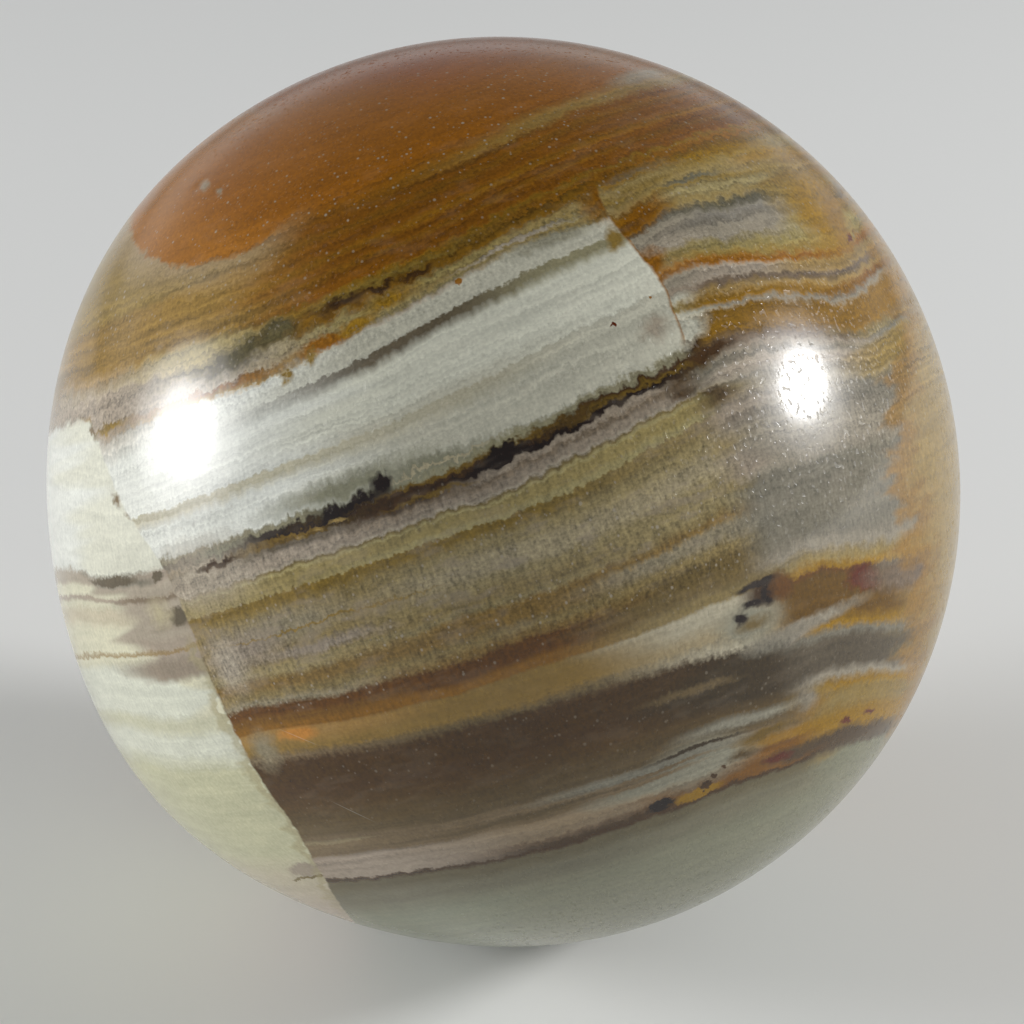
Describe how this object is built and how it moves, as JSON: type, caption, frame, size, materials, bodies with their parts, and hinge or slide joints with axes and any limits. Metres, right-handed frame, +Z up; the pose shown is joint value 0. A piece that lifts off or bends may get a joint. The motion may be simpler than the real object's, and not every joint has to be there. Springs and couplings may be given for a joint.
{
  "type": "banded onyx sphere",
  "caption": "Solid polished ball of banded onyx in cream, white, brown, grey and rust layers, standing on a small flat ground under it.",
  "frame": {"origin": "middle of the small flat under the ball, where it stands", "axes": "+Z up, from the flat through the middle of the ball"},
  "size_m": [0.0518, 0.052, 0.0516],
  "materials": {
    "banded_onyx": "polished"
  },
  "bodies": {
    "root": {"onyx_sphere": "banded_onyx"}
  },
  "joints": []
}
